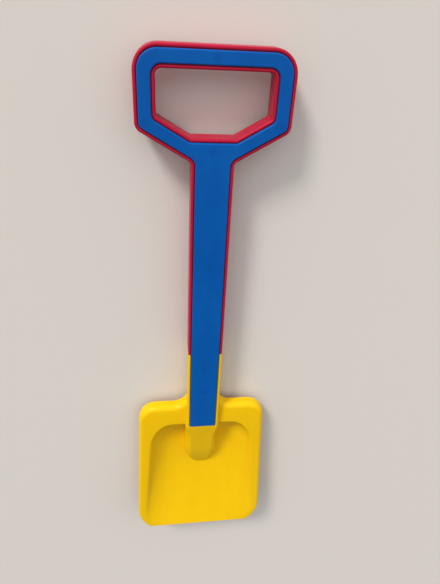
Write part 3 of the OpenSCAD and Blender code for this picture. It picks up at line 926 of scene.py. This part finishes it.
def add_node(tree, kind, inputs, **settings):
    """New node with its settings, and with its inputs linked to sockets or set to plain values."""
    node = tree.nodes.new(kind)
    for name, value in settings.items():
        setattr(node, name, value)
    for name, value in inputs.items():
        if isinstance(value, bpy.types.NodeSocket):
            tree.links.new(value, node.inputs[name])
        else:
            node.inputs[name].default_value = value
    return node


def object_place(tree):
    return tree.nodes.new("ShaderNodeTexCoord").outputs["Object"]


def noise(tree, stretch, scale, detail, roughness):
    """Noise on Object coordinates, drawn out along an axis by a small scale there."""
    turned = add_node(tree, "ShaderNodeMapping", {"Vector": object_place(tree), "Scale": stretch})
    cloud = add_node(tree, "ShaderNodeTexNoise", {
        "Vector": turned.outputs["Vector"], "Scale": scale, "Detail": detail, "Roughness": roughness})
    return cloud.outputs["Fac"]


def ramp(tree, value, low, high, to_low, to_high):
    """Goes from to_low to to_high while the value goes from low to high."""
    ranged = add_node(tree, "ShaderNodeMapRange", {
        "Value": value, "From Min": low, "From Max": high, "To Min": to_low, "To Max": to_high})
    return ranged.outputs["Result"]


def mixed(tree, share, first, second):
    """Colour that goes from the first to the second while the share goes from 0 to 1."""
    inputs = {"Factor": share, MIX_FIRST: first, MIX_SECOND: second}
    return add_node(tree, "ShaderNodeMix", inputs, data_type="RGBA").outputs[MIX_RESULT]


def reckon(tree, operation, *values):
    """Result of a math node."""
    return add_node(tree, "ShaderNodeMath", dict(enumerate(values)), operation=operation).outputs["Value"]


# %% Node group for the moulded skin
GRAIN_SCALE = 1100.0
STREAK_SCALE = 60.0
RUB_SCALE = 25.0
EVEN = (1.0, 1.0, 1.0)
ALONG_SHAFT = (1.0, 0.12, 1.0)
SHADE_LOW = 0.7
SHADE_HIGH = 1.3
RUB_LOW = 0.5
RUB_HIGH = 0.75
RUB_RELIEF = 3.0


def new_group(name, inputs, outputs):
    """Node group of plain numbers, whose inputs have usual values."""
    group = bpy.data.node_groups.new(name, "ShaderNodeTree")
    for label, value in inputs.items():
        socket_in = group.interface.new_socket(label, in_out="INPUT", socket_type="NodeSocketFloat")
        socket_in.default_value = value
    for label in outputs:
        group.interface.new_socket(label, in_out="OUTPUT", socket_type="NodeSocketFloat")
    return group


def moulded_skin():
    scales = {"Grain Scale": GRAIN_SCALE, "Streak Scale": STREAK_SCALE, "Rub Scale": RUB_SCALE}
    group = new_group("moulded_skin", scales, ("Shade", "Rub", "Height"))
    given = group.nodes.new("NodeGroupInput").outputs
    streaks = noise(group, ALONG_SHAFT, given["Streak Scale"], detail=3.0, roughness=0.55)
    patches = noise(group, EVEN, given["Rub Scale"], detail=4.0, roughness=0.6)
    grain = noise(group, EVEN, given["Grain Scale"], detail=2.0, roughness=0.5)
    both = reckon(group, "ADD", streaks, patches)
    add_node(group, "NodeGroupOutput", {
        "Shade": ramp(group, both, SHADE_LOW, SHADE_HIGH, 0.0, 1.0),
        "Rub": ramp(group, patches, RUB_LOW, RUB_HIGH, 0.0, 1.0),
        "Height": reckon(group, "MULTIPLY_ADD", patches, RUB_RELIEF, grain),
    })
    return group


skin = moulded_skin()
print("node group:", skin.name, "with", len(skin.nodes), "nodes")

# %% [markdown]
# ## Three plastics and zinc plated steel
#
# Each plastic mixes a deeper and a lighter tone of its colour by the skin's shade, gets a little rougher
# where it is rubbed, and takes the grain as a bump. The screws are zinc plated steel with fine marks.

# %% Materials
PLASTIC_IOR = 1.49
PLASTIC_SPECULAR = 0.15
GRAIN_BUMP = 0.25
GRAIN_DEPTH = 0.05 * MM
PLATING_SCALE = 1500.0
PLATING_DEEP = (0.42, 0.42, 0.45, 1)
PLATING_LIGHT = (0.72, 0.72, 0.74, 1)
PLATING_GLOSS = 0.22
PLATING_DULL = 0.42
MARKS_LOW = 0.3
MARKS_HIGH = 0.7


def new_material(name):
    material = bpy.data.materials.new(name)
    material.use_nodes = True
    return material, material.node_tree, material.node_tree.nodes["Principled BSDF"]


def plastic(name, deep, light, gloss, rubbed):
    material, tree, shader = new_material(name)
    shader.inputs["IOR"].default_value = PLASTIC_IOR
    shader.inputs["Specular IOR Level"].default_value = PLASTIC_SPECULAR
    surface = add_node(tree, "ShaderNodeGroup", {}, node_tree=skin).outputs
    relief = add_node(tree, "ShaderNodeBump", {
        "Strength": GRAIN_BUMP, "Distance": GRAIN_DEPTH, "Height": surface["Height"]})
    tree.links.new(mixed(tree, surface["Shade"], deep, light), shader.inputs["Base Color"])
    tree.links.new(ramp(tree, surface["Rub"], 0.0, 1.0, gloss, rubbed), shader.inputs["Roughness"])
    tree.links.new(relief.outputs["Normal"], shader.inputs["Normal"])
    return material


def plated_steel():
    material, tree, shader = new_material("zinc_plated_steel")
    shader.inputs["Metallic"].default_value = 1.0
    marks = noise(tree, EVEN, PLATING_SCALE, detail=3.0, roughness=0.6)
    tree.links.new(mixed(tree, marks, PLATING_DEEP, PLATING_LIGHT), shader.inputs["Base Color"])
    roughness = ramp(tree, marks, MARKS_LOW, MARKS_HIGH, PLATING_GLOSS, PLATING_DULL)
    tree.links.new(roughness, shader.inputs["Roughness"])
    return material


red = plastic("red_plastic", (0.43, 0.006, 0.032, 1), (0.51, 0.010, 0.044, 1), gloss=0.34, rubbed=0.46)
blue = plastic("blue_plastic", (0.0, 0.086, 0.36, 1), (0.0, 0.106, 0.42, 1), gloss=0.36, rubbed=0.50)
yellow = plastic("yellow_plastic", (0.86, 0.508, 0.001, 1), (0.90, 0.546, 0.003, 1), gloss=0.30, rubbed=0.42)
steel = plated_steel()
print("materials:", [m.name for m in (red, blue, yellow, steel)])

# %% [markdown]
# ## Sink marks
#
# Plastic shrinks as it cools, most where it is thick. Over each screw boss the front of the cover has
# sunk in a little, and light falling on that dip makes it show as a faint darker spot. The marks are too
# shallow to model, so the blue takes a mask of those places. The mask lowers its relief there and turns
# its colour darker as painted shade.

# %% Sink marks over the bosses
SINK_R = 4.5 * MM
SINK_HEIGHT = -0.8
# Darker blue painted over the sink marks, standing in for the shade in their shallow dips
SINK_SHADE_BLUE = (0.0, 0.081, 0.335, 1)


def sink_marks(tree, places):
    """Mask that rises to 1 over each place on the cover's face and is 0 away from them."""
    marks = 0.0
    for x, y in places:
        ends = {0: object_place(tree), 1: (x, y, COVER_FACE_Z)}
        away = add_node(tree, "ShaderNodeVectorMath", ends, operation="DISTANCE").outputs["Value"]
        marks = reckon(tree, "MAXIMUM", marks, ramp(tree, away, 0.0, SINK_R, 1.0, 0.0))
    return marks


def add_sink_relief_and_shade(material, places, painted_shade_colour):
    """Puts the marks into a plastic: its colour turns towards a painted shade of the dip and its relief
    sinks.
    """
    tree = material.node_tree
    shader = tree.nodes["Principled BSDF"]
    marks = sink_marks(tree, places)
    colour = shader.inputs["Base Color"].links[0].from_socket
    # Painted shade: the colour turns darker over the marks
    tree.links.new(mixed(tree, marks, colour, painted_shade_colour), shader.inputs["Base Color"])
    relief = shader.inputs["Normal"].links[0].from_node.inputs["Height"]
    height = relief.links[0].from_socket
    tree.links.new(reckon(tree, "MULTIPLY_ADD", marks, SINK_HEIGHT, height), relief)


add_sink_relief_and_shade(blue, HANDLE_SCREWS + SOCKET_SCREWS, SINK_SHADE_BLUE)
print("the blue has", len(blue.node_tree.nodes), "nodes with its sink marks")


# %% Coat the pieces
def coat(piece, material):
    piece.data.materials.clear()
    piece.data.materials.append(material)
    print(piece.name, "is coated with", material.name)


coat(handle, red)
coat(cover, blue)
coat(blade, yellow)
for node in ("handle_screws", "socket_screws"):
    coat(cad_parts[node], steel)

# %% [markdown]
# ## Floor and light
#
# The shovel lies on a plain pale floor. A soft low sun shines from the grip's side, a little from the
# left, so the walls that face the grip are bright and those that face the tip are in shade. The world is
# a soft room that is brighter on the sun's side. Lamps with an area would light the two ends of the
# shovel unevenly, which a sun does not.

# %% Floor
FLOOR_SIZE = 8.0
FLOOR_COLOUR = (0.73, 0.68, 0.62, 1)
FLOOR_ROUGHNESS = 0.9


def pale_floor():
    bm = bmesh.new()
    bmesh.ops.create_grid(bm, x_segments=1, y_segments=1, size=FLOOR_SIZE / 2)
    floor = as_object(bm, "floor")
    material, tree, shader = new_material("pale_floor")
    shader.inputs["Base Color"].default_value = FLOOR_COLOUR
    shader.inputs["Roughness"].default_value = FLOOR_ROUGHNESS
    floor.data.materials.append(material)
    return floor


pale_floor()
print("floor:", FLOOR_SIZE, "m wide")

# %% Light
SUN_FROM = Vector((-0.46, 0.80, 0.42))
SUN_STRENGTH = 2.2
SUN_SPREAD = math.radians(14)
SUN_COLOUR = (1.0, 0.98, 0.95)
ROOM_DARK = (0.19, 0.195, 0.21, 1)
ROOM_BRIGHT = (1.08, 1.09, 1.11, 1)
ROOM_DARK_Y = -0.5
ROOM_BRIGHT_Y = 0.6
BACKDROP = (0.74, 0.72, 0.69, 1)


def soft_sun():
    light = bpy.data.lights.new("soft_sun", "SUN")
    light.energy = SUN_STRENGTH
    light.angle = SUN_SPREAD
    light.color = SUN_COLOUR
    lamp = bpy.data.objects.new("soft_sun", light)
    lamp.rotation_euler = SUN_FROM.to_track_quat("Z", "Y").to_euler()
    bpy.context.scene.collection.objects.link(lamp)


def soft_room():
    """World that is dim behind the tip and bright behind the grip, and seen as a pale backdrop."""
    world = bpy.data.worlds.new("soft_room")
    world.use_nodes = True
    tree = world.node_tree
    around = tree.nodes.new("ShaderNodeTexCoord").outputs["Generated"]
    along = add_node(tree, "ShaderNodeSeparateXYZ", {"Vector": around}).outputs["Y"]
    share = ramp(tree, along, ROOM_DARK_Y, ROOM_BRIGHT_Y, 0.0, 1.0)
    room = mixed(tree, share, ROOM_DARK, ROOM_BRIGHT)
    seen = tree.nodes.new("ShaderNodeLightPath").outputs["Is Camera Ray"]
    tree.links.new(mixed(tree, seen, room, BACKDROP), tree.nodes["Background"].inputs["Color"])
    return world


soft_sun()
bpy.context.scene.world = soft_room()
bpy.context.scene.view_settings.view_transform = "Standard"

# %% [markdown]
# ## Camera
#
# The camera hangs above the grip and looks down the shaft towards the blade, so the grip is near and
# large and the blade is far and small. Its place and angles were worked out from the straight lines in the
# photograph.

# %% Camera
CAMERA_PLACE = (-38.0 * MM, TOP_Y + 16.1 * MM, RIM_Z + 331.6 * MM)
CAMERA_TILT = math.radians(-31.69)
CAMERA_LEAN = math.radians(-6.63)
CAMERA_ROLL = math.radians(2.81)
CAMERA_LENS = 27.94
CAMERA_SENSOR = 36
CAMERA_NEAR = 10 * MM
camera = bpy.data.objects.new("camera", bpy.data.cameras.new("camera"))
camera.data.lens = CAMERA_LENS
camera.data.sensor_width = CAMERA_SENSOR
camera.data.clip_start = CAMERA_NEAR
camera.location = CAMERA_PLACE
camera.rotation_euler = (CAMERA_TILT, CAMERA_LEAN, CAMERA_ROLL)
bpy.context.scene.collection.objects.link(camera)
bpy.context.scene.camera = camera
print("camera is", round(camera.location.z / MM), "mm above the floor")
